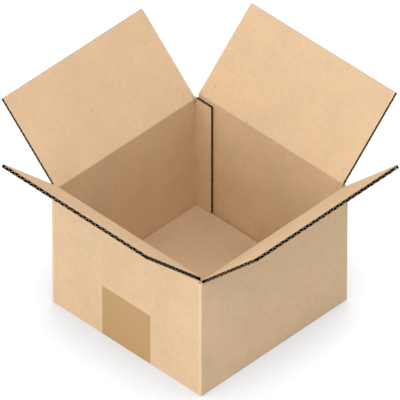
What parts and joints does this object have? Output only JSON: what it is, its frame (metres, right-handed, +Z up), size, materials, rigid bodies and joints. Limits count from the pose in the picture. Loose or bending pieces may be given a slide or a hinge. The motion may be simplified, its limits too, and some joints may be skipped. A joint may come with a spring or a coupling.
{
  "type": "open cardboard box",
  "caption": "Square shipping carton of brown corrugated board, bottom taped shut, top flaps folded open on their creases.",
  "frame": {"origin": "middle of the underside, on the surface the carton stands on", "axes": "+Z up; -Y is the front wall, with the tape's end; +X is the right wall"},
  "size_m": [0.2652, 0.2652, 0.1671],
  "materials": {
    "board": "unprinted brown kraft liner, matt",
    "tape": "brown packing tape, low sheen"
  },
  "bodies": {
    "carton": {"carton_body": "board", "bottom_tape": "tape"},
    "front_flap": {"flap_front": "board"},
    "back_flap": {"flap_back": "board"},
    "left_flap": {"flap_left": "board"},
    "right_flap": {"flap_right": "board"}
  },
  "joints": [
    {"name": "front_flap_fold", "type": "hinge", "parent": "carton", "child": "front_flap", "pos_m": [0, -0.0774, 0.1114], "axis": [-1, 0, 0], "range_deg": [-99.5, 135.5]},
    {"name": "back_flap_fold", "type": "hinge", "parent": "carton", "child": "back_flap", "pos_m": [0, 0.0774, 0.1114], "axis": [1, 0, 0], "range_deg": [-99.5, 135.5]},
    {"name": "left_flap_fold", "type": "hinge", "parent": "carton", "child": "left_flap", "pos_m": [-0.0774, 0, 0.1083], "axis": [0, 1, 0], "range_deg": [-99.5, 135.5]},
    {"name": "right_flap_fold", "type": "hinge", "parent": "carton", "child": "right_flap", "pos_m": [0.0774, 0, 0.1083], "axis": [0, -1, 0], "range_deg": [-99.5, 135.5]}
  ]
}
